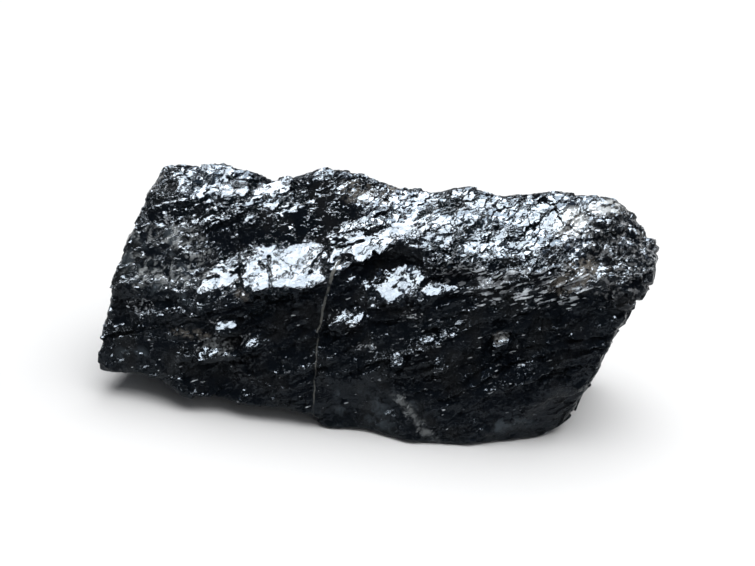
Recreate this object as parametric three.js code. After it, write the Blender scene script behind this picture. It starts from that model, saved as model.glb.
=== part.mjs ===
// Raw morion quartz: one broken block of black smoky quartz, lying on its flattest side.
// Millimetres, +Z up, +X along the block's length, -Y towards its leaning front face. The origin is
// the middle of the block's bounding box, on the surface that it rests on.
//
// The block is one solid. Its form is a signed field, negative inside the stone: flat fracture facets
// bound it, lumps stand on it, ledges and shell-shaped scoops are broken out of it, and a splintery
// grain runs along it. A box grid is thrown out from a core line inside the stone until it meets
// the surface of that field.
import * as THREE from "three";
import { SimplexNoise } from "three/addons/math/SimplexNoise.js";
import { mergeVertices } from "three/addons/utils/BufferGeometryUtils.js";

const FRONT = -26.6; // y of the front face at the floor
const BACK = 28; // y of the back face at the floor
const BACK_LEAN = 0.17; // the back face comes forward this far for each millimetre up
const FRONT_EDGE = { y: -12, z: 48 }; // where the front face meets the roof
const RIDGE_Y = 14; // the ridge along the roof lies this far behind the middle
const RIDGE_Z = 57;
const LEFT = { foot: -74, lean: 0.14 }; // the ends: x at the floor, and how far it goes to +X a millimetre up
const RIGHT = { foot: 52, lean: 0.44 };

const EDGE_SOFTNESS = 0.9; // how far a broken edge is rounded
const LUMP_SOFTNESS = 3; // how far a lump runs out into the stone around it
const GRAIN_RISE = 0.31; // radians: the splinters rise towards +X
const RELIEF = [{ along: 34, across: 15, depth: 0.6 }, { along: 15, across: 8, depth: 0.3 }];

const CORE = { from: -52, to: 50, y: -1, z: 25 };
const GRID = { along: 44, across: 20, up: 23 };
const MARCH = 0.8; // the step of a ray on its way out of the stone

const MORION_BLACK = 0x14151a;

// A plane through a point. azimuth is the way its normal faces in plan: 0 is +X, -90 the front.
// elevation is how far the normal tips up.
function facet(point, azimuth, elevation) {
  const a = THREE.MathUtils.degToRad(azimuth);
  const e = THREE.MathUtils.degToRad(elevation);
  const normal = new THREE.Vector3(Math.cos(a) * Math.cos(e), Math.sin(a) * Math.cos(e), Math.sin(e));
  return { normal, distance: normal.dot(new THREE.Vector3(...point)) };
}

const facets = {
  frontFace: facet([0, FRONT, 0], -90, 17),
  frontLeft: facet([-58, -24.4, 4], -96, 14),
  frontRight: facet([20, -24.2, 0], -81, 12),
  frontRightFoot: facet([38, -18.5, 0], -60, -14),
  brow: facet([44, -15, 43.5], -86, 52),
  roof: facet([30, -12, 47.7], -92, 66),
  backFace: facet([0, BACK, 0], 90, 10),
  backLeft: facet([-60, 22.5, 24], 108, 6),
  backRight: facet([57, 20, 30], 58, 4),
  backFoot: facet([0, 25.5, 9], 86, -36),
  leftEnd: facet([-71.3, -17, 28], 176.5, 7),
  leftShoulder: facet([-65.2, 0, 49], -168, 28),
  leftFoot: facet([-66, 16, 8], 140, -40),
  rightShoulder: facet([70.2, 5, 53.6], 6, 46),
  rightEnd: facet([73.6, 0, 49], -3, -22),
  rightFoot: facet([56.5, -12, 8], -25, -34),
};

// The height of the ridge along the roof, as [x, z].
const ridgeLine = [
  [-70, 53], [-58, 55.7], [-47, 56.2], [-37, 54.5], [-31, 53.4], [-26, 55.2], [-21, 58.4], [-9, 59],
  [-2, 56], [3, 54.6], [11, 55.2], [18, 57.6], [24, 58.2], [30, 56.6], [46, 59], [57, 60.4], [72, 56],
];
const ridgePitch = { front: 0.21, back: -0.62 };

// How far the underside stands off the floor, as [x, z]: the left end is off it.
const undersideLine = [
  [-76, 6.4], [-60, 7.4], [-54, 7.4], [-48, 5], [-32, 4], [-20, 3.8], [-12, 3], [-8, -0.6], [46, -0.5],
  [60, 2.5],
];

// Where the front face meets the floor, as [x, y].
const footLine = [[-74, -23], [-45, FRONT], [8, FRONT], [38, -19], [52, -11]];

// A ledge is broken out of the stone where a point is outside all of its planes: its tread first,
// then its risers.
const ledges = {
  upperLeft: {
    planes: [facet([-55.5, -17.1, 31.2], -112.5, 60), facet([-55.5, -17.1, 31.2], -89, 42)],
    softness: 1.5,
  },
  middle: {
    planes: [
      facet([-5, -15.9, 35], -99.5, 58.5),
      facet([-5, -15.9, 35], -62, 20),
      facet([36, -14, 41], -101, 15),
    ],
    softness: 1.5,
  },
  back: { planes: [facet([-50, 25.4, 14], 108, 50), facet([-50, 25.4, 14], 87, 5)], softness: 2 },
};

const lump = (x, y, z, radius) => ({ centre: new THREE.Vector3(x, y, z), radius });
const lumps = [lump(61, 8, 53, 6), lump(67.5, -1, 45, 6), lump(-16, 8, 52, 7), lump(-40, 3, 30, 23)];

// A scoop is a shell-shaped break: a ball cut into the stone at a point of its surface.
function scoop(at, azimuth, elevation, radius, depth) {
  const { normal } = facet(at, azimuth, elevation);
  return { centre: new THREE.Vector3(...at).addScaledVector(normal, radius - depth), radius };
}

const scoops = {
  smoothShell: scoop([4, -25, 3.5], -92, 12, 32, 3),
  upperLeft: scoop([-40, -6.5, 43.5], -86, 30, 11, 1.6),
  lowerLeft: scoop([-37.6, -21.1, 15], -84, 8, 14, 1.3),
  underHump: scoop([-8.7, 9, 56.5], -50, 50, 9, 1.6),
  pocket: scoop([60.5, -4, 50.5], -80, 40, 6, 2),
  roof: scoop([23, 9, 58], -90, 60, 7, 1.4),
  frontRight: scoop([37, -15.3, 26], -84, 10, 20, 1.6),
  frontLeftEdge: scoop([-62, -18.5, 26], -110, 0, 12, 1.2),
  rightEnd: scoop([68, -6, 34], -10, -20, 14, 1.6),
  leftEnd: scoop([-73, 4, 24], 178, 0, 34, 2.2),
  backMiddle: scoop([6, 23, 36], 92, 20, 40, 3.4),
  backLeft: scoop([-30, 25, 12], 95, -20, 30, 2.6),
  backRight: scoop([44, 24, 12], 84, -10, 30, 2.8),
  underside: scoop([-44, 0, 4], -90, -88, 40, 1.6),
};

function smoothMax(a, b, k) {
  const h = Math.max(k - Math.abs(a - b), 0) / k;
  return Math.max(a, b) + (h * h * k) / 4;
}
const smoothMin = (a, b, k) => -smoothMax(-a, -b, k);
const outside = (plane, p) => plane.normal.dot(p) - plane.distance;

// The value at x on a line of [x, value] points.
function valueAt(line, x) {
  const last = line.length - 1;
  if (x <= line[0][0]) return line[0][1];
  if (x >= line[last][0]) return line[last][1];
  const i = line.findIndex((point) => point[0] > x);
  const [x0, v0] = line[i - 1];
  const [x1, v1] = line[i];
  return THREE.MathUtils.mapLinear(x, x0, x1, v0, v1);
}

const seeded = (seed) => ({
  random() {
    seed = (seed * 1664525 + 1013904223) % 4294967296;
    return seed / 4294967296;
  },
});
const noise = new SimplexNoise(seeded(7));

const grainAlong = new THREE.Vector3(Math.cos(GRAIN_RISE), 0.08, Math.sin(GRAIN_RISE)).normalize();
const grainAcross = new THREE.Vector3(0, 1, 0).cross(grainAlong).normalize();
const grainThrough = grainAlong.clone().cross(grainAcross);

// Swells and hollows drawn out along the grain.
function relief(p) {
  const [s, t, w] = [p.dot(grainAlong), p.dot(grainAcross), p.dot(grainThrough)];
  return RELIEF.reduce(
    (sum, { along, across, depth }) => sum + depth * noise.noise3d(s / along, t / across, w / across),
    0,
  );
}

function ridgeOutside(p) {
  const pitch = p.y < RIDGE_Y ? ridgePitch.front : ridgePitch.back;
  return (p.z - valueAt(ridgeLine, p.x) - pitch * (p.y - RIDGE_Y)) / Math.hypot(1, pitch);
}

// How far a point is outside the stone. The last line cuts the underside flat where it meets the floor.
function field(p) {
  let d = ridgeOutside(p);
  for (const plane of Object.values(facets)) d = smoothMax(d, outside(plane, p), EDGE_SOFTNESS);
  for (const { centre, radius } of lumps) d = smoothMin(d, p.distanceTo(centre) - radius, LUMP_SOFTNESS);
  for (const { planes, softness } of Object.values(ledges)) {
    const broken = planes.map((plane) => outside(plane, p)).reduce((a, b) => smoothMin(a, b, softness));
    d = smoothMax(d, broken, EDGE_SOFTNESS);
  }
  for (const { centre, radius } of Object.values(scoops)) {
    d = smoothMax(d, radius - p.distanceTo(centre), EDGE_SOFTNESS);
  }
  d = smoothMax(d, valueAt(undersideLine, p.x) - p.z, EDGE_SOFTNESS);
  return Math.max(d + relief(p), -p.z);
}

// Where the ray from the core leaves the stone.
function surfacePoint(origin, direction) {
  const reach = (t) => origin.clone().addScaledVector(direction, t);
  let far = MARCH;
  while (field(reach(far)) < 0) far += MARCH;
  let near = far - MARCH;
  for (let halving = 0; halving < 24; halving++) {
    const middle = (near + far) / 2;
    if (field(reach(middle)) < 0) near = middle;
    else far = middle;
  }
  return reach((near + far) / 2);
}

// The grid's box stretched over the stone, so that the box's edges run close to the stone's own.
function stretched(q) {
  const { lerp } = THREE.MathUtils;
  const [u, v, w] = [(q.x + 1) / 2, (q.y + 1) / 2, (q.z + 1) / 2];
  const footX = lerp(LEFT.foot, RIGHT.foot, u);
  const underside = Math.max(valueAt(undersideLine, footX), 0);
  const z = lerp(underside, lerp(FRONT_EDGE.z, RIDGE_Z, v), w);
  const front = lerp(valueAt(footLine, footX), FRONT_EDGE.y, z / FRONT_EDGE.z);
  const y = lerp(front, BACK - BACK_LEAN * z, v);
  const x = lerp(LEFT.foot + LEFT.lean * z, RIGHT.foot + RIGHT.lean * z, u);
  return new THREE.Vector3(x, y, z);
}

// The ray from the nearest point of the core line through a point of the stretched box.
function rayFor(q) {
  const aim = stretched(q);
  const origin = new THREE.Vector3(THREE.MathUtils.clamp(aim.x, CORE.from, CORE.to), CORE.y, CORE.z);
  return { origin, direction: aim.sub(origin).normalize() };
}

function stoneGeometry() {
  const box = new THREE.BoxGeometry(2, 2, 2, GRID.along, GRID.across, GRID.up);
  box.deleteAttribute("normal");
  box.deleteAttribute("uv");
  const geometry = mergeVertices(box);
  const position = geometry.getAttribute("position");
  const q = new THREE.Vector3();
  for (let i = 0; i < position.count; i++) {
    const { origin, direction } = rayFor(q.fromBufferAttribute(position, i));
    const p = surfacePoint(origin, direction);
    position.setXYZ(i, p.x, p.y, Math.abs(p.z) < 0.01 ? 0 : p.z);
  }
  geometry.computeBoundingBox();
  const middle = geometry.boundingBox.getCenter(new THREE.Vector3());
  geometry.translate(-middle.x, -middle.y, 0);
  geometry.computeVertexNormals();
  return geometry;
}

const stone = new THREE.Mesh(
  stoneGeometry(),
  new THREE.MeshStandardMaterial({ color: MORION_BLACK, roughness: 0.2, metalness: 0 }),
);
stone.name = "morion_quartz";

const specimen = new THREE.Group();
specimen.add(stone);
export default specimen;
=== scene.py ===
import itertools
import math

import bpy
import numpy as np
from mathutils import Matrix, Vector


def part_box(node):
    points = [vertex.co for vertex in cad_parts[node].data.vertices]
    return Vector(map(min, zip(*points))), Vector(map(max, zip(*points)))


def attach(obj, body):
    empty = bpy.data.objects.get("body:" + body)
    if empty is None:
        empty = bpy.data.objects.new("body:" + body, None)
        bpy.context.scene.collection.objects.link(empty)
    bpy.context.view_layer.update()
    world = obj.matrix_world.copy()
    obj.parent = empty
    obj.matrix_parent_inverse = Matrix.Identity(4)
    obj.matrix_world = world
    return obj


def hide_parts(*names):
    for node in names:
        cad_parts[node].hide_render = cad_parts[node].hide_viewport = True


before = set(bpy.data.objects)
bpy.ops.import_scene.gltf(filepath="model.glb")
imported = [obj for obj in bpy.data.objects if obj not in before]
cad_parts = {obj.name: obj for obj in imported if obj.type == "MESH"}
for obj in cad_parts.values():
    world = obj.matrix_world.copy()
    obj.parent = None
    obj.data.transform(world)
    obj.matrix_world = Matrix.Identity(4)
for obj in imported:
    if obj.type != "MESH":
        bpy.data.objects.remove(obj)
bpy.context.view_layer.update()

mm = 0.001

# The layers of the stone climb to the right and a little to the back: their normal, their long way, and all
# three ways together
layerNormal = np.array([-0.387, -0.129, 0.913])
layerAlong = np.array([0.516, 0.788, 0.334])
grainAxes = np.stack([layerAlong, layerNormal, np.cross(layerAlong, layerNormal)], axis=1)


# Noise for the mesh, on points in millimetres

def scatter(cells, seed):
    x, y, z = (cells[..., i].astype(np.int64).astype(np.uint32) for i in range(3))
    h = x * np.uint32(0x8DA6B343) ^ y * np.uint32(0xD8163841) ^ z * np.uint32(0xCB1AB31F)
    h ^= np.uint32(seed * 2654435761 % 2**32)
    h = (h ^ (h >> np.uint32(15))) * np.uint32(0x2C1B3C6D)
    h = (h ^ (h >> np.uint32(12))) * np.uint32(0x297A2D39)
    return (h ^ (h >> np.uint32(15))) / 2**32


def scatter3(cells, seed):
    return np.stack([scatter(cells, seed * 3 + i) for i in range(3)], axis=-1)


def swell(points, seed):
    # smooth noise between -1 and 1, one hump to a unit
    base = np.floor(points)
    f = points - base
    blend = f * f * f * (f * (f * 6 - 15) + 10)
    total = np.zeros(len(points))
    for corner in itertools.product((0, 1), repeat=3):
        slope = scatter3(base + corner, seed) * 2 - 1
        weight = np.where(corner, blend, 1 - blend).prod(axis=1)
        total += weight * (slope * (f - corner)).sum(axis=1)
    return total * 1.4


def roughen(points, seed, octaves=3):
    return sum(swell(points * 2**i, seed + i) / 2**i for i in range(octaves))


def shatter(points, seed, jitter=0.95):
    # the nearest cell: the offset from its middle, its number, and how far away its crack is
    base = np.floor(points)
    nearest = np.full(len(points), 9.0)
    second = nearest.copy()
    offset = np.zeros((len(points), 3))
    cell = base.copy()
    for step in itertools.product((-1, 0, 1), repeat=3):
        here = base + step
        away = points - here - 0.5 - (scatter3(here, seed) - 0.5) * jitter
        distance = (away**2).sum(axis=1)
        closer = distance < nearest
        second = np.where(closer, nearest, np.minimum(second, distance))
        nearest = np.where(closer, distance, nearest)
        offset[closer] = away[closer]
        cell[closer] = here[closer]
    return offset, cell, np.sqrt(second) - np.sqrt(nearest)


def between(low, high, value):
    t = np.clip((value - low) / (high - low), 0, 1)
    return t * t * (3 - 2 * t)


def spotMask(points, spots, ragged=0.0):
    # soft ellipsoids: middle and radii in millimetres
    mask = np.zeros(len(points))
    for middle, radii in spots:
        reach = np.linalg.norm((points - middle) / radii, axis=1) + ragged
        mask = np.maximum(mask, 1 - between(0.6, 1.15, reach))
    return mask


# The block: one natural piece. All is in millimetres, and every spot is a middle and three radii

block = {
    "voxel": 0.32,
    "triangles": 196000,
    "sharpAngle": 20,
    # broken plates: size along the layers, across them and the third way, tilt, seed, share tipped up, how far
    "plates": {
        "large": ((15.0, 6.0, 10.0), 0.06, 3, 0, 0),
        "middle": ((5.8, 2.2, 4.0), 0.13, 7, 0.04, 0.4),
        "small": ((2.6, 1.1, 1.7), 0.12, 9, 0.03, 0.6),
    },
    "smooth": [
        ((4, -23, 8), (15, 7, 8)), ((44, -17, 7), (11, 6, 5)), ((-60, -22, 14), (11, 4, 6)),
        ((-21, -1, 49), (16, 4, 4)), ((-34, -5, 43), (11, 5, 5)), ((-50, 1, 52), (10, 3, 2.5)),
        ((2, -9, 45), (6, 3, 2.2)), ((11, -8.5, 47.5), (7, 3, 1.8)), ((-8, 8, 56), (5, 5, 3)),
        ((-59, -10, 39), (12, 9, 9)), ((-46, -13, 38), (8, 5, 5)), ((-12, -1, 50.5), (6, 4, 4)),
    ],
    "calm": [((-25, -15, 38.5), (16, 5, 4)), ((-7, -9, 47), (14, 5, 5)), ((14, -12, 42), (10, 5, 4))],
    "knobbly": [((68, 4, 45), (11, 20, 16)), ((62, 6, 53), (8, 12, 7))],
    "streaky": [
        ((38, -11, 45), (22, 6, 6)), ((22, -10, 47), (7, 3, 3)), ((-54, -1, 49.5), (10, 5, 3)),
        ((-42, -15, 35), (9, 5, 2.5)),
    ],
    # flat facets: middle, length along the grain, width, and the way they face: elevation and azimuth
    "facets": [
        ((-22.3, -13.5, 40.7), 27, 19.5, 66, -104), ((-1.5, -7, 48.2), 18, 9, 66, -104),
        ((-39.5, -15.9, 36.1), 14, 4, 66, -102), ((7.2, -12, 41.2), 17, 13, 61, -103),
        ((22, -12.4, 42), 16, 4.5, 61, -102), ((-19.5, -1.2, 49.5), 31, 10.5, 39, -92),
        ((-51.6, 7, 54.5), 18, 9, 64, -58), ((-32, 9.5, 53.4), 12, 6, 68, -104),
        ((-60, 4, 52.5), 5, 6, 60, -150), ((19.5, 6.6, 55.7), 5, 4, 50, -60),
        ((-9, 9, 56), 9, 5, 48, -50), ((-3.5, -18.5, 31.9), 13, 5, 61, -103),
        ((-37, -22, 26.8), 9, 3.6, 60, -103), ((-30, -21.6, 22.7), 9, 3.4, 60, -103),
        ((-38, -22.2, 18.7), 14, 7.5, 59, -103), ((11, -21.2, 23.2), 4, 3.4, 60, -103),
        ((37, -15.2, 30.2), 7, 3.4, 60, -103), ((19, -18, 29), 6, 2.3, 60, -103),
    ],
    "strike": (-0.38, 0.22, 0.9),  # the facets' long sides run square to this
    "facetDepth": 4,
    "sink": 2.2,  # how far a facet may cut in
    "rise": 3.0,  # and stand out
    "crackDepth": 0.7,
    "cracks": [
        [(-15, -16, 41), (-14.4, -11.5, 43.8), (-12.8, -7.8, 45.8), (-6.4, -8.2, 47.1), (-2.8, -6.5, 48.8)],
        [(-27.7, -9.4, 42.2), (-27.2, -12, 41), (-25.3, -14.6, 39.4), (-24, -16.8, 36.6)],
        [(-34, -8, 42), (-30, -10.5, 41), (-28, -12.6, 40.4)],
        [(6, -9, 43.5), (8.5, -12, 41.5), (9, -14.5, 39.5)],
    ],
    "marksAndGlints": {
        "haze": [
            ((-60, -12, 36), (10, 7, 8)), ((-47, -17, 33), (7, 4, 4)), ((-57, -7, 42), (6, 4, 4)),
            ((-64, -22, 12), (7, 4, 4)), ((4, -23, 8), (14, 5, 6)), ((15, -24, 9), (2, 3, 3)),
            ((20, -25, 4), (2, 3, 3)), ((42, -19, 6), (9, 4, 3)),
        ],
        "beige": [
            ((57, -7, 48), (6, 4, 3.5)), ((53, -10, 45), (6, 4, 3)), ((0.5, 10, 54.5), (2, 6, 3)),
            ((-45, -21, 22), (6, 3, 1.5)), ((36.6, -13.6, 30), (2.2, 3, 2)), ((-8, 8, 56), (5, 5, 3)),
            ((-31, -18, 35), (3, 3, 1.5)), ((51, 3, 56), (1.5, 7, 4)),
        ],
        "ash": [((67, 0, 50), (10, 13, 10)), ((60, -8, 46), (6, 4, 4)), ((56, 0, 54), (6, 5, 4))],
        "pale": [((37, -15, 30), (2, 3, 1.6)), ((51, 3, 56), (5, 8, 3)), ((59, 9, 59), (5, 4, 3))],
        # where the pale dashes of painted glint are densest, a painted highlight
        "paintedGlintStreaks": [((42, -11, 43), (20, 7, 6.5)), ((24, -11, 43.5), (9, 5, 5)), ((54, -8, 46), (7, 5, 5))],
        "clean": [
            ((-3.5, -18, 31.9), (8, 4, 3)), ((-37, -21.5, 26.8), (5, 3, 2)), ((-30, -21, 22.7), (5, 3, 2)),
            ((11, -20.8, 23.2), (2.4, 3, 2)),
        ],
        # where flakes tip up to glint in the light, and where the painted glint dashes grow a little denser
        "glints": [((42, -11, 44), (20, 6, 6)), ((22, -10, 46), (8, 3, 4)), ((24, -17, 26), (26, 8, 13))],
        # where flakes tip up to glint in the light, and where tiny flakes are painted pale as glints, a painted
        # highlight
        "sparkle": [
            ((-40, -21, 19), (6, 3, 4)), ((-38, -20.7, 26.5), (4, 3, 1.2)), ((-31, -20.3, 22.5), (4, 3, 1.6)),
            ((-62, -19, 27), (5, 3, 2.5)), ((-4, -17.3, 31), (5, 3, 2.2)), ((11, -20, 23), (1.2, 3, 1.2)),
            ((2, -19, 24.5), (4, 3, 1)), ((37, -13.6, 30), (2.5, 3, 1.6)), ((22, -10.5, 47), (8, 2.5, 2.5)),
            ((22, -18, 30), (3, 3, 1)), ((14, -17, 34), (3, 3, 1)), ((-54, -3, 46), (8, 3, 1.5)),
        ],
        "cloud": [
            ((-56, -7, 43), (10, 4, 3)), ((12, -23, 12), (1.4, 3, 2)), ((15, -23.6, 8.6), (1.6, 3, 2.2)),
            ((18.4, -24, 5), (1.6, 3, 2.2)), ((-62, -14, 34), (6, 4, 7)), ((-51, -14, 35), (9, 5, 4)),
            ((-38, -21, 18.5), (7, 3, 3.5)), ((-47, -10, 40), (5, 3, 2)),
        ],
    },
}


def plates(grain, bent, kind):
    # flat broken plates with wavy edges, each tipped its own way; a few tip up to the sky
    size, tilt, seed, rare, lift = block["plates"][kind]
    offset, cell, _ = shatter(bent / size, seed)
    lean = (scatter3(cell, seed + 40) * 2 - 1) * tilt
    chosen = scatter(cell, seed + 50) < rare
    lean[:, 1] -= np.where(chosen, lift, 0)
    return (lean * (offset * size + grain - bent)).sum(axis=1)


def rows(grain, spacing, length, seed):
    # the edges of the layers: how far down its row a point is, and a number for each stretch of a row
    run = (grain[:, 0] + grain[:, 2]) * 0.707
    aside = (grain[:, 0] - grain[:, 2]) * 0.707
    bend = swell(np.stack([run / 26, grain[:, 1] / 10, aside / 14], axis=1), seed) * 1.2
    down = -grain[:, 1] / spacing + bend
    row = np.floor(down)
    shift = scatter(np.stack([row, row * 0, row * 0], axis=1), seed)
    cell = np.stack([row, np.floor(run / length + shift), row * 0], axis=1)
    broken = swell(np.stack([run / length, row * 3.7, aside / 12], axis=1), seed + 5)
    return down - row, scatter(cell, seed + 1), broken


def shingles(grain, spacing, depth, seed, length=16):
    # each row leans back, stands proud at its lower edge and is undercut there
    part, strength, broken = rows(grain, spacing, length, seed)
    return depth * (0.6 + strength * 0.6) * between(-0.5, 0, broken) * (part - between(0.86, 1, part) - 0.3)


def treads(grain, spacing, depth, seed, few, width=0.22, length=6):
    # short steps out that face the sky, some to each row
    part, strength, broken = rows(grain, spacing, length, seed)
    return depth * (0.3 + strength) * between(few, few + 0.2, broken) * (between(0, width, part) - part)


def facing(elevation, azimuth):
    up, turn = math.radians(elevation), math.radians(azimuth)
    return np.array([math.cos(up) * math.cos(turn), math.cos(up) * math.sin(turn), math.sin(up)])


def facets(points, warp, normals):
    # how far each point goes to lie on the flat facets, and where they are; small ones have straighter edges
    height = np.zeros(len(points))
    cover = np.zeros(len(points))
    for middle, length, wide, elevation, azimuth in block["facets"]:
        normal = facing(elevation, azimuth)
        level = np.cross(block["strike"], normal)
        level /= np.linalg.norm(level)
        bent = points + warp * min(2.2, wide * 0.25)
        across = np.cross(normal, level)
        ways = np.stack([level * 2 / length, across * 2 / wide, normal / block["facetDepth"]], axis=1)
        away = (bent - middle) @ ways
        window = 1 - between(0.75, 1.15, (abs(away) ** 3).sum(axis=1) ** 0.333)
        reach = (middle - points) @ normal / np.maximum(normals @ normal, 0.4)
        height += (np.clip(reach, -block["sink"], block["rise"]) - height) * window
        cover = np.maximum(cover, window)
    return height, cover


def cracks(bent):
    # how close each point is to the long open cracks, from 0 to 1
    nearest = np.full(len(bent), 9.0)
    for line in block["cracks"]:
        for start, end in itertools.pairwise(np.array(line, float)):
            way = end - start
            part = np.clip((bent - start) @ way / (way @ way), 0, 1)
            nearest = np.minimum(nearest, np.linalg.norm(bent - start - part[:, None] * way, axis=1))
    return 1 - between(0.1, 0.75, nearest)


def carve(points, normals):
    warp = np.stack([roughen(points / 7 + k * 31, 11 + k, 2) for k in range(3)], axis=1) * 0.9
    warp += np.stack([roughen(points / 1.8 + k * 17, 51 + k, 2) for k in range(3)], axis=1) * 0.4
    flat, cover = facets(points, warp, normals)
    opened = cracks(points + warp * 0.7)
    grain = points @ grainAxes
    bent = (points + warp) @ grainAxes
    ragged = roughen(points / 6, 5) * 0.3
    zones = ("smooth", "calm", "knobbly", "streaky")
    smooth, calm, knobbly, streaky = (spotMask(points, block[name], ragged) for name in zones)
    side = 1 - between(0.5, 0.8, normals[:, 2])
    front = between(0.4, 0.8, abs(normals[:, 1])) * side
    edged = 0.1 + 0.9 * front
    high = between(8, 20, points[:, 2])
    standing = between(0.2, 1.6, points[:, 2])  # the flat it rests on stays flat
    broken = 1 - 0.85 * cover
    rough = (1 - 0.92 * smooth) * (1 - 0.4 * calm) * broken

    height = plates(grain, bent, "large") * (1 - 0.5 * smooth) * broken
    height += plates(grain, bent, "middle") * rough * (1 - 0.3 * front)
    height += plates(grain, bent, "small") * rough * (0.7 - 0.35 * side)
    height += shingles(bent, spacing=5.0, depth=1.7, seed=21) * rough * edged * (0.2 + 0.8 * high)
    height += treads(bent, spacing=2.9, depth=1.3, seed=27, few=-0.1) * rough * edged * (0.3 + 0.7 * high)
    height += treads(bent, spacing=2.2, depth=1.8, seed=28, few=-0.6, width=0.4) * streaky * broken
    lumps = shatter((points + warp) / 5.0, 31)[2]
    height += (between(0, 0.45, lumps) * 1.3 - 0.45) * knobbly
    height += roughen(points / 1.3, 13, 2) * (0.012 + 0.02 * side) * rough
    height += flat - opened * block["crackDepth"]
    return points + normals * (height * standing)[:, None]


def newObject(name, mesh):
    piece = bpy.data.objects.new(name, mesh)
    bpy.context.scene.collection.objects.link(piece)
    return piece


def settled(piece):
    # the piece's mesh with its modifiers applied
    graph = bpy.context.evaluated_depsgraph_get()
    mesh = bpy.data.meshes.new_from_object(piece.evaluated_get(graph))
    piece.modifiers.clear()
    piece.data = mesh
    return mesh


def readPoints(mesh, what="co"):
    values = np.empty(len(mesh.vertices) * 3)
    mesh.vertices.foreach_get(what, values)
    return values.reshape(-1, 3)


def makeBlock():
    piece = newObject("morion_block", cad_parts["morion_quartz"].data.copy())
    piece.modifiers.new("weld", "WELD").merge_threshold = 0.01 * mm
    piece.modifiers.new("round", "SUBSURF").levels = 2
    remesh = piece.modifiers.new("remesh", "REMESH")
    remesh.mode = "VOXEL"
    remesh.voxel_size = block["voxel"] * mm
    mesh = settled(piece)
    print("block: remeshed,", len(mesh.vertices), "points")

    carved = carve(readPoints(mesh) / mm, readPoints(mesh, "normal")) * mm
    low, high = (np.array(corner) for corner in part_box("morion_quartz"))
    mesh.vertices.foreach_set("co", np.clip(carved, low, high).ravel())
    mesh.update()
    mesh.calc_loop_triangles()
    piece.modifiers.new("thin", "DECIMATE").ratio = block["triangles"] / len(mesh.loop_triangles)
    mesh = settled(piece)
    mesh.vertices.foreach_set("co", np.clip(readPoints(mesh), low, high).ravel())
    mesh.shade_smooth()
    mesh.set_sharp_from_angle(angle=math.radians(block["sharpAngle"]))
    print("block: carved,", len(mesh.polygons), "faces")
    points = readPoints(mesh) / mm
    ragged = roughen(points / 4, 71) * 0.35
    for name, spots in block["marksAndGlints"].items():
        values = spotMask(points, spots, ragged)
        mesh.attributes.new(name, "FLOAT", "POINT").data.foreach_set("value", values)
    upward = between(0.2, 0.6, readPoints(mesh, "normal")[:, 2])
    mesh.attributes.new("upward", "FLOAT", "POINT").data.foreach_set("value", upward)
    return piece


stone = makeBlock()


# Shader maths written as expressions

class Wire:
    # one socket of a node tree
    def __init__(self, tree, socket=None):
        self.tree = tree
        self.socket = socket

    def node(self, kind, settings=None, sockets=None, out=0):
        made = self.tree.nodes.new(kind)
        for name, value in (settings or {}).items():
            setattr(made, name, value)
        for name, value in (sockets or {}).items():
            if isinstance(value, Wire):
                self.tree.links.new(value.socket, made.inputs[name])
            else:
                made.inputs[name].default_value = value
        return Wire(self.tree, made.outputs[out])

    def also(self, out):
        # another output of the same node
        return Wire(self.tree, self.socket.node.outputs[out])

    def maths(self, operation, *values):
        return self.node("ShaderNodeMath", {"operation": operation}, dict(enumerate(values)))

    def vector(self, operation, *values):
        out = "Value" if operation == "DOT_PRODUCT" else "Vector"
        return self.node("ShaderNodeVectorMath", {"operation": operation}, dict(enumerate(values)), out)

    def __add__(self, other):
        return self.maths("ADD", self, other)

    def __sub__(self, other):
        return self.maths("SUBTRACT", self, other)

    def __rsub__(self, other):
        return self.maths("SUBTRACT", other, self)

    def __mul__(self, other):
        return self.maths("MULTIPLY", self, other)

    __radd__ = __add__
    __rmul__ = __mul__

    def between(self, low, high):
        return self.node("ShaderNodeMapRange", {"interpolation_type": "SMOOTHSTEP"},
                         {"Value": self, "From Min": low, "From Max": high})

    def blend(self, first, second):
        # from the first colour to the second as this mask goes from 0 to 1
        colours = [(*c, 1) if isinstance(c, tuple) else c for c in (first, second)]
        sockets = {0: self, 6: colours[0], 7: colours[1]}  # factor, A and B of the colour mix
        return self.node("ShaderNodeMix", {"data_type": "RGBA"}, sockets, 2)


def newMaterial(name):
    material = bpy.data.materials.new(name)
    material.use_nodes = True
    return material, Wire(material.node_tree)


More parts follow.
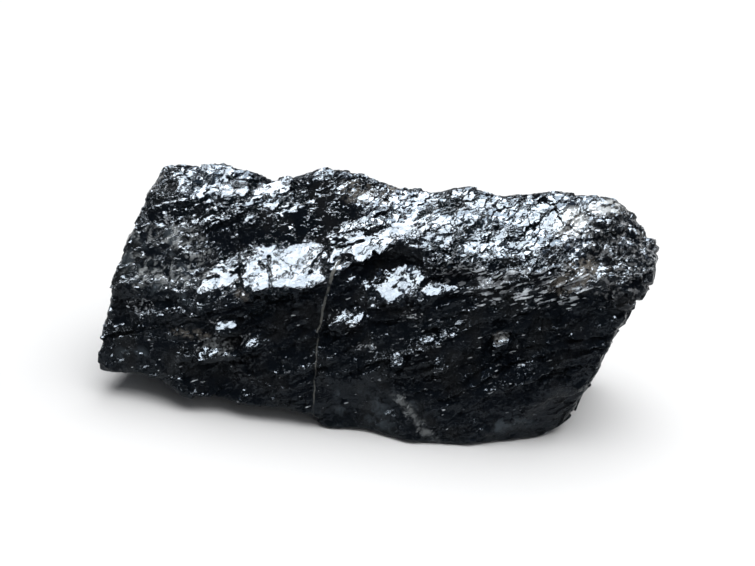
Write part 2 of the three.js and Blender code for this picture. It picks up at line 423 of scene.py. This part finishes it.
quartz = {
    "black": (0.0022, 0.0032, 0.0048),
    "smoke": (0.007, 0.0075, 0.008),
    # the pale colour painted on as glints: a painted highlight on the tiny chosen flakes and the dashes
    "paintedGlint": (0.62, 0.66, 0.7),
    "roughness": 0.02,
    "ior": 1.54,
    "specular": 0.21,
    "tint": (0.74, 0.87, 1, 1),
    # flat flakes, in metres along the layers, across them and the third way
    "flake": np.array([0.0036, 0.0016, 0.0024]),
    "tilt": 0.21,
    "rise": 1.38,  # how far the few flakes that face the sky lean back
    "sway": 0.004,  # how far the flakes' edges wander
    "groove": 0.00025,
    # patches over the black: colour, strength, where their noise lies, its scale and detail, and the values at
    # which it starts and is full
    "patches": {
        "haze": ((0.04, 0.049, 0.057), 0.8, "bent", 230, 6, 0.46, 0.66),
        "cloud": ((0.25, 0.265, 0.27), 1, "grain", 1.3, 8, 0.46, 0.68),
        "beige": ((0.105, 0.096, 0.084), 1, "grain", 1.3, 6, 0.42, 0.6),
        "ash": ((0.16, 0.165, 0.17), 1, "place", 900, 6, 0.5, 0.64),
        "pale": ((0.35, 0.36, 0.36), 1, "grain", 1.2, 6, 0.4, 0.54),
    },
    # the thin vein down the front, in metres
    "vein": {
        "colour": (0.18, 0.18, 0.165),
        "x": -0.0101,
        "bendsAbove": 0.022,
        "bend": 6.9,
        "waver": 0.0018,
        "edge": (0.00008, 0.0003),
        "widens": 0.012,
        "back": (-0.0135, -0.011),
    },
    # the pale slanting crest low on the front, in metres
    "crest": {
        "colour": (0.25, 0.265, 0.27),
        "slope": 0.9,
        "middle": 0.0258,
        "waver": 0.006,
        "edge": (0, 0.0026),
        "top": (0.011, 0.014),
        "back": (-0.02, -0.017),
        "strength": 0.5,
    },
    # short pale dashes of painted glint, painted highlights where the steps' own glints are hidden from the
    # light, long along the rows and thin across them
    "paintedGlintDashes": {
        "ways": ((0.24, 0, 0.08), (0, 0.3, 0), (-0.36, 0, 1)),
        "scale": 1300,
        "edge": (0.69, 0.73),
        "gaps": (0.42, 0.54),
    },
}


def quartzMaterial():
    material, wire = newMaterial("morion")
    shader = material.node_tree.nodes["Principled BSDF"]
    place = wire.node("ShaderNodeTexCoord", out="Object")
    flake, tilt = quartz["flake"], quartz["tilt"]
    middleGrey = (0.5, 0.5, 0.5)

    def noise(scale, detail=3, where=place, out=0):
        return wire.node("ShaderNodeTexNoise", None, {"Vector": where, "Scale": scale, "Detail": detail}, out)

    # reads a point mask made with the block: stains, zones, and the masks where glints are painted
    def stain(name):
        return wire.node("ShaderNodeAttribute", {"attribute_name": name}, out="Fac")

    def along(where, ways):
        # coordinates along three ways
        parts = [wire.vector("DOT_PRODUCT", where, tuple(way)) for way in ways]
        return wire.node("ShaderNodeCombineXYZ", None, dict(zip("XYZ", parts)))

    sway = wire.vector("SUBTRACT", noise(480, 3, out="Color"), middleGrey)
    bent = wire.vector("ADD", place, wire.vector("MULTIPLY", sway, (quartz["sway"],) * 3))
    flakeWays = (grainAxes / flake).T
    grain, straight = along(bent, flakeWays), along(place, flakeWays)
    sky = tuple(grainAxes[2] * flake * quartz["rise"])
    upward = stain("upward")
    seams = noise(1, 2, wire.vector("MULTIPLY", grain, (0.12, 0.5, 0.08))).between(0.48, 0.6)
    glints = (seams * (stain("glints") * 0.8 + 0.07) + stain("sparkle") * 0.45 + 0.006) * (1 - upward * 0.8)
    calm = 1 - stain("clean") * 0.7
    side = 1 - upward

    def flakes(scale, rare, back):
        # flat flakes with wavy edges, each tipped its own way, all leaning back a little, a few facing the sky:
        # their height in metres, and which are the few
        lean = wire.node("ShaderNodeTexVoronoi", None, {"Vector": grain, "Scale": scale}, "Color")
        middle = lean.also("Position")
        chosen = wire.maths("LESS_THAN", wire.node("ShaderNodeTexWhiteNoise", None, {"Vector": middle}), rare)
        lean = wire.vector("MULTIPLY", wire.vector("SUBTRACT", lean, middleGrey), tuple(flake * tilt))
        lean = wire.vector("SUBTRACT", lean, wire.vector("MULTIPLY", chosen + back, sky))
        return wire.vector("DOT_PRODUCT", lean, wire.vector("SUBTRACT", straight, middle)), chosen

    broad = flakes(1, 0, 0)[0]
    small = flakes(2.0, glints, side * 0.12)[0]
    # the tiny flakes also choose the few that are painted pale as glints, a painted highlight
    tiny, paintedSparks = flakes(3.7, stain("sparkle") * 0.2, 0)

    # dark hairlines along the contour lines of a noise
    contour = wire.maths("ABSOLUTE", wire.maths("FRACT", noise(0.5, 3, grain) * 4) - 0.5)
    hair = (1 - contour.between(0.04, 0.18)) * noise(260, 2).between(0.35, 0.47) * (upward * 0.8 + 0.2)
    fine = noise(2.0, 5, grain)

    # black glass, then the patches over it
    colour = noise(120, 5).between(0.45, 0.65).blend(quartz["black"], quartz["smoke"])
    spaces = {"place": place, "bent": bent, "grain": grain}
    masks = {}
    for name, (tone, strength, space, scale, detail, low, high) in quartz["patches"].items():
        masks[name] = stain(name) * noise(scale, detail, spaces[space]).between(low, high)
        colour = (masks[name] * strength).blend(colour, tone)

    x, y, z = (wire.node("ShaderNodeSeparateXYZ", None, {0: place}, axis) for axis in "XYZ")
    line = quartz["vein"]
    lift = wire.maths("MAXIMUM", z - line["bendsAbove"], 0)
    aside = wire.maths("ABSOLUTE", x - line["x"] - lift * lift * line["bend"] + noise(180, 4) * line["waver"])
    vein = 1 - (aside - lift * line["widens"]).between(*line["edge"])
    vein = vein * (1 - y.between(*line["back"])) * noise(250, 2).between(0.35, 0.6)
    colour = (vein * (lift * 18 + 0.4)).blend(colour, line["colour"])

    # painted glints: pale dashes along the rows and the tiny chosen flakes, painted highlights mostly on the
    # sides rather than the tops
    row, paintedGlintStreaks = quartz["paintedGlintDashes"], stain("paintedGlintStreaks")
    paintedGlintDashes = noise(row["scale"], 3, along(place, row["ways"])) + paintedGlintStreaks * 0.13 + stain("glints") * 0.04
    paintedGlintDashes = paintedGlintDashes.between(*row["edge"]) * (noise(200, 3) + paintedGlintStreaks * 0.08).between(*row["gaps"])
    colour = (wire.maths("MAXIMUM", paintedSparks * 0.8, paintedGlintDashes) * (1 - upward * 0.8)).blend(colour, quartz["paintedGlint"])

    line = quartz["crest"]
    aside = wire.maths("ABSOLUTE", x + z * line["slope"] + noise(300, 6) * line["waver"] - line["middle"])
    crest = (1 - aside.between(*line["edge"])) * (1 - z.between(*line["top"])) * (1 - y.between(*line["back"]))
    crest = crest * noise(0.9, 5, grain).between(0.4, 0.66) * line["strength"]
    colour = crest.blend(colour, line["colour"])

    height = (broad + small * (1 - upward * 0.4) + tiny * side) * calm
    height = height + (fine * (0.2 - upward * 0.14) - hair * 1.5 + vein * 0.2) * quartz["groove"]
    bump = wire.node("ShaderNodeBump", None, {"Height": height, "Strength": 1, "Distance": 1})
    roughness = side * 0.15 + fine * 0.08 + masks["pale"] * 0.2 + quartz["roughness"]
    for name, value in (("Base Color", colour), ("Roughness", roughness), ("Normal", bump)):
        material.node_tree.links.new(value.socket, shader.inputs[name])
    shader.inputs["IOR"].default_value = quartz["ior"]
    shader.inputs["Specular IOR Level"].default_value = quartz["specular"]
    shader.inputs["Specular Tint"].default_value = quartz["tint"]
    return material


stone.data.materials.clear()
stone.data.materials.append(quartzMaterial())
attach(stone, "root")
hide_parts("morion_quartz")
print("block: finished")


# The studio: a pale floor, a softbox behind on the left that the stone mirrors, wide soft fill from above

studio = {
    "floor": (0.62, 0.62, 0.62, 1),
    "floorRoughness": 0.9,
    "world": 0.09,
    "sky": (0.75, 0.85, 1, 1),
    "aim": (0, 0, 0.03),
    "halfFloor": 4,
    "lights": [  # place, width, power, colour, seen in reflections, lights the floor
        ("softbox", (-0.72, 0.54, 1.72), 1.55, 270, (1, 1, 1), True, False),
        ("halo", (-0.6, 0.6, 1.9), 2.3, 16, (0.6, 0.74, 1), True, False),
        ("window", (-0.4, 1.24, 1.5), 1.24, 66, (0.8, 0.9, 1), True, False),
        ("overhead", (0.3, 0.2, 1.6), 2.7, 74, (1, 1, 1), False, True),
        ("front", (0.9, -1.2, 1.0), 1.6, 5, (1, 1, 1), False, True),
        ("backbox", (0.8, 1.7, 0.8), 1.0, 14, (1, 1, 1), True, False),
    ],
}


def makeStudio():
    mesh = bpy.data.meshes.new("floor")
    half = studio["halfFloor"]
    corners = [(-half, -half, 0), (half, -half, 0), (half, half, 0), (-half, half, 0)]
    mesh.from_pydata(corners, [], [(0, 1, 2, 3)])
    floor = newObject("floor", mesh)
    material = newMaterial("floor")[0]
    shader = material.node_tree.nodes["Principled BSDF"]
    shader.inputs["Base Color"].default_value = studio["floor"]
    shader.inputs["Roughness"].default_value = studio["floorRoughness"]
    shader.inputs["Specular IOR Level"].default_value = 0
    mesh.materials.append(material)
    for name, place, size, power, tint, mirrored, spread in studio["lights"]:
        light = bpy.data.lights.new(name, "AREA")
        light.shape = "DISK"
        light.size = size
        light.energy = power
        light.color = tint
        lamp = newObject(name, light)
        lamp.location = place
        lamp.rotation_euler = (Vector(studio["aim"]) - lamp.location).to_track_quat("-Z", "Y").to_euler()
        lamp.visible_glossy = mirrored
        lamp.visible_diffuse = spread
    world = bpy.data.worlds.new("world")
    world.use_nodes = True
    background = world.node_tree.nodes["Background"]
    background.inputs["Color"].default_value = studio["sky"]
    background.inputs["Strength"].default_value = studio["world"]
    bpy.context.scene.world = world
    bpy.context.scene.view_settings.view_transform = "Standard"


view = {"azimuth": 15, "elevation": 28, "distance": 0.48, "target": (0, 0, 0.033), "lens": 84.7}


def makeCamera():
    turn, lift = math.radians(view["azimuth"]), math.radians(view["elevation"])
    back = Vector((math.sin(turn) * math.cos(lift), -math.cos(turn) * math.cos(lift), math.sin(lift)))
    data = bpy.data.cameras.new("camera")
    data.lens = view["lens"]
    data.clip_start = 0.01
    camera = newObject("camera", data)
    camera.location = Vector(view["target"]) + back * view["distance"]
    camera.rotation_euler = back.to_track_quat("Z", "Y").to_euler()
    bpy.context.scene.camera = camera


makeStudio()
makeCamera()
print("studio: set")
